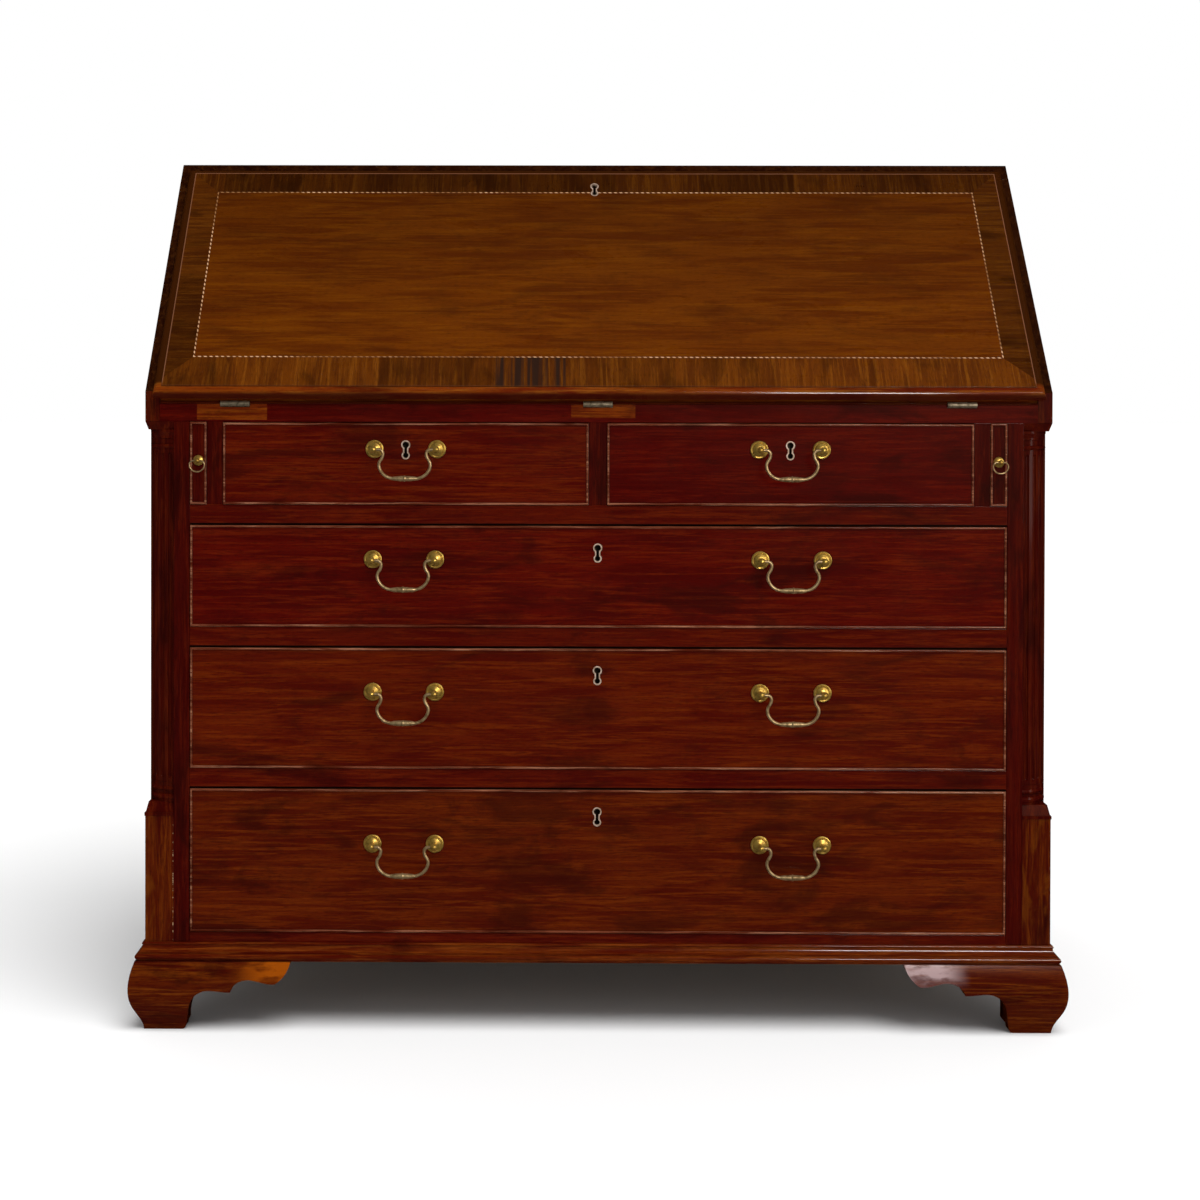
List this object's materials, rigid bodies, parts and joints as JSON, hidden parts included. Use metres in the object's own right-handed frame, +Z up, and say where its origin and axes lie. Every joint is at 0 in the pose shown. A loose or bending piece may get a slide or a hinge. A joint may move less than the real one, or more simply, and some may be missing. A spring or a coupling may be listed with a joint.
{
  "type": "fall-front bureau",
  "caption": "Fall-front bureau on bracket feet: a sloping fall opens onto lopers over cockbeaded drawers flanked by fluted quarter columns.",
  "frame": {"origin": "on the floor, under the middle of the desk's whole box", "axes": "+X to the right seen from the front, the front faces -Y, +Z up"},
  "size_m": [1.1546, 0.5832, 1.097],
  "materials": {
    "mahogany": "polished dark mahogany",
    "carved_mahogany": "polished mahogany, turned, moulded and fretted",
    "fall_mahogany": "faded figured mahogany with a darker crossbanded border",
    "stringing": "chequered boxwood line",
    "oak_and_pine": "plain unpolished secondary wood",
    "brass": "old lacquered brass"
  },
  "bodies": {
    "case": {"side_left": "mahogany", "side_right": "mahogany", "top_board": "mahogany", "writing_board": "mahogany", "drawer_rails": "mahogany", "uprights": "mahogany", "bottom_board": "oak_and_pine", "dustboards": "oak_and_pine", "back_boards": "oak_and_pine", "column_left": "carved_mahogany", "column_right": "carved_mahogany", "base_moulding": "carved_mahogany", "feet_front": "carved_mahogany", "feet_rear": "carved_mahogany", "hinge_leaves_case": "brass", "pigeonholes": "mahogany"},
    "fall": {"fall_board": "fall_mahogany", "fall_stringing": "stringing", "fall_hinge_leaves": "brass", "fall_lock": "brass"},
    "fall_bolt": {"fall_lock_bolt": "brass"},
    "loper_left": {"loper_left": "mahogany", "loper_stud_left": "brass"},
    "loper_drop_left": {"loper_drop_left": "brass"},
    "loper_right": {"loper_right": "mahogany", "loper_stud_right": "brass"},
    "loper_drop_right": {"loper_drop_right": "brass"},
    "drawer_top_left": {"drawer_top_left_front": "mahogany", "drawer_top_left_box": "oak_and_pine", "drawer_top_left_fittings": "brass"},
    "drawer_top_left_bolt": {"drawer_top_left_bolt": "brass"},
    "drawer_top_left_bail": {"drawer_top_left_bail": "brass"},
    "drawer_top_right": {"drawer_top_right_front": "mahogany", "drawer_top_right_box": "oak_and_pine", "drawer_top_right_fittings": "brass"},
    "drawer_top_right_bolt": {"drawer_top_right_bolt": "brass"},
    "drawer_top_right_bail": {"drawer_top_right_bail": "brass"},
    "drawer_upper": {"drawer_upper_front": "mahogany", "drawer_upper_box": "oak_and_pine", "drawer_upper_fittings": "brass"},
    "drawer_upper_bolt": {"drawer_upper_bolt": "brass"},
    "drawer_upper_bail_left": {"drawer_upper_bail_left": "brass"},
    "drawer_upper_bail_right": {"drawer_upper_bail_right": "brass"},
    "drawer_middle": {"drawer_middle_front": "mahogany", "drawer_middle_box": "oak_and_pine", "drawer_middle_fittings": "brass"},
    "drawer_middle_bolt": {"drawer_middle_bolt": "brass"},
    "drawer_middle_bail_left": {"drawer_middle_bail_left": "brass"},
    "drawer_middle_bail_right": {"drawer_middle_bail_right": "brass"},
    "drawer_lower": {"drawer_lower_front": "mahogany", "drawer_lower_box": "oak_and_pine", "drawer_lower_fittings": "brass"},
    "drawer_lower_bolt": {"drawer_lower_bolt": "brass"},
    "drawer_lower_bail_left": {"drawer_lower_bail_left": "brass"},
    "drawer_lower_bail_right": {"drawer_lower_bail_right": "brass"},
    "cupboard_door": {"cupboard_door": "mahogany"},
    "small_drawer_left_inner": {"small_drawer_left_inner": "mahogany"},
    "small_drawer_left_outer": {"small_drawer_left_outer": "mahogany"},
    "small_drawer_right_inner": {"small_drawer_right_inner": "mahogany"},
    "small_drawer_right_outer": {"small_drawer_right_outer": "mahogany"}
  },
  "joints": [
    {"name": "fall_hinge", "type": "hinge", "parent": "case", "child": "fall", "pos_m": [0, -0.26735, 0.774], "axis": [1, 0, 0], "range_deg": [0, 130]},
    {"name": "fall_bolt_slide", "type": "slide", "parent": "fall", "child": "fall_bolt", "axis": [0, -0.6428, -0.766], "range_m": [-0.008, 0]},
    {"name": "loper_left_slide", "type": "slide", "parent": "case", "child": "loper_left", "axis": [0, -1, 0], "range_m": [0, 0.29]},
    {"name": "loper_left_drop", "type": "hinge", "parent": "loper_left", "child": "loper_drop_left", "pos_m": [-0.4933, -0.27835, 0.704], "axis": [-1, 0, 0], "range_deg": [0, 80]},
    {"name": "loper_right_slide", "type": "slide", "parent": "case", "child": "loper_right", "axis": [0, -1, 0], "range_m": [0, 0.29]},
    {"name": "loper_right_drop", "type": "hinge", "parent": "loper_right", "child": "loper_drop_right", "pos_m": [0.4933, -0.27835, 0.704], "axis": [-1, 0, 0], "range_deg": [0, 80]},
    {"name": "drawer_top_left_slide", "type": "slide", "parent": "case", "child": "drawer_top_left", "axis": [0, -1, 0], "range_m": [0, 0.4]},
    {"name": "drawer_top_left_bolt_slide", "type": "slide", "parent": "drawer_top_left", "child": "drawer_top_left_bolt", "axis": [0, 0, -1], "range_m": [-0.008, 0]},
    {"name": "drawer_top_left_bail_swing", "type": "hinge", "parent": "drawer_top_left", "child": "drawer_top_left_bail", "pos_m": [-0.2371, -0.28735, 0.7185], "axis": [-1, 0, 0], "range_deg": [0, 90]},
    {"name": "drawer_top_right_slide", "type": "slide", "parent": "case", "child": "drawer_top_right", "axis": [0, -1, 0], "range_m": [0, 0.4]},
    {"name": "drawer_top_right_bolt_slide", "type": "slide", "parent": "drawer_top_right", "child": "drawer_top_right_bolt", "axis": [0, 0, -1], "range_m": [-0.008, 0]},
    {"name": "drawer_top_right_bail_swing", "type": "hinge", "parent": "drawer_top_right", "child": "drawer_top_right_bail", "pos_m": [0.2371, -0.28735, 0.7185], "axis": [-1, 0, 0], "range_deg": [0, 90]},
    {"name": "drawer_upper_slide", "type": "slide", "parent": "case", "child": "drawer_upper", "axis": [0, -1, 0], "range_m": [0, 0.4]},
    {"name": "drawer_upper_bolt_slide", "type": "slide", "parent": "drawer_upper", "child": "drawer_upper_bolt", "axis": [0, 0, -1], "range_m": [-0.008, 0]},
    {"name": "drawer_upper_bail_left_swing", "type": "hinge", "parent": "drawer_upper", "child": "drawer_upper_bail_left", "pos_m": [-0.239, -0.28735, 0.5824], "axis": [-1, 0, 0], "range_deg": [0, 90]},
    {"name": "drawer_upper_bail_right_swing", "type": "hinge", "parent": "drawer_upper", "child": "drawer_upper_bail_right", "pos_m": [0.239, -0.28735, 0.5824], "axis": [-1, 0, 0], "range_deg": [0, 90]},
    {"name": "drawer_middle_slide", "type": "slide", "parent": "case", "child": "drawer_middle", "axis": [0, -1, 0], "range_m": [0, 0.4]},
    {"name": "drawer_middle_bolt_slide", "type": "slide", "parent": "drawer_middle", "child": "drawer_middle_bolt", "axis": [0, 0, -1], "range_m": [-0.008, 0]},
    {"name": "drawer_middle_bail_left_swing", "type": "hinge", "parent": "drawer_middle", "child": "drawer_middle_bail_left", "pos_m": [-0.239, -0.28735, 0.4186], "axis": [-1, 0, 0], "range_deg": [0, 90]},
    {"name": "drawer_middle_bail_right_swing", "type": "hinge", "parent": "drawer_middle", "child": "drawer_middle_bail_right", "pos_m": [0.239, -0.28735, 0.4186], "axis": [-1, 0, 0], "range_deg": [0, 90]},
    {"name": "drawer_lower_slide", "type": "slide", "parent": "case", "child": "drawer_lower", "axis": [0, -1, 0], "range_m": [0, 0.4]},
    {"name": "drawer_lower_bolt_slide", "type": "slide", "parent": "drawer_lower", "child": "drawer_lower_bolt", "axis": [0, 0, -1], "range_m": [-0.008, 0]},
    {"name": "drawer_lower_bail_left_swing", "type": "hinge", "parent": "drawer_lower", "child": "drawer_lower_bail_left", "pos_m": [-0.239, -0.28735, 0.2308], "axis": [-1, 0, 0], "range_deg": [0, 90]},
    {"name": "drawer_lower_bail_right_swing", "type": "hinge", "parent": "drawer_lower", "child": "drawer_lower_bail_right", "pos_m": [0.239, -0.28735, 0.2308], "axis": [-1, 0, 0], "range_deg": [0, 90]},
    {"name": "cupboard_door_hinge", "type": "hinge", "parent": "case", "child": "cupboard_door", "pos_m": [-0.0642, -0.00725, 0.85], "axis": [0, 0, -1], "range_deg": [0, 90]},
    {"name": "small_drawer_left_inner_slide", "type": "slide", "parent": "case", "child": "small_drawer_left_inner", "axis": [0, -1, 0], "range_m": [0, 0.15]},
    {"name": "small_drawer_left_outer_slide", "type": "slide", "parent": "case", "child": "small_drawer_left_outer", "axis": [0, -1, 0], "range_m": [0, 0.15]},
    {"name": "small_drawer_right_inner_slide", "type": "slide", "parent": "case", "child": "small_drawer_right_inner", "axis": [0, -1, 0], "range_m": [0, 0.15]},
    {"name": "small_drawer_right_outer_slide", "type": "slide", "parent": "case", "child": "small_drawer_right_outer", "axis": [0, -1, 0], "range_m": [0, 0.15]}
  ]
}
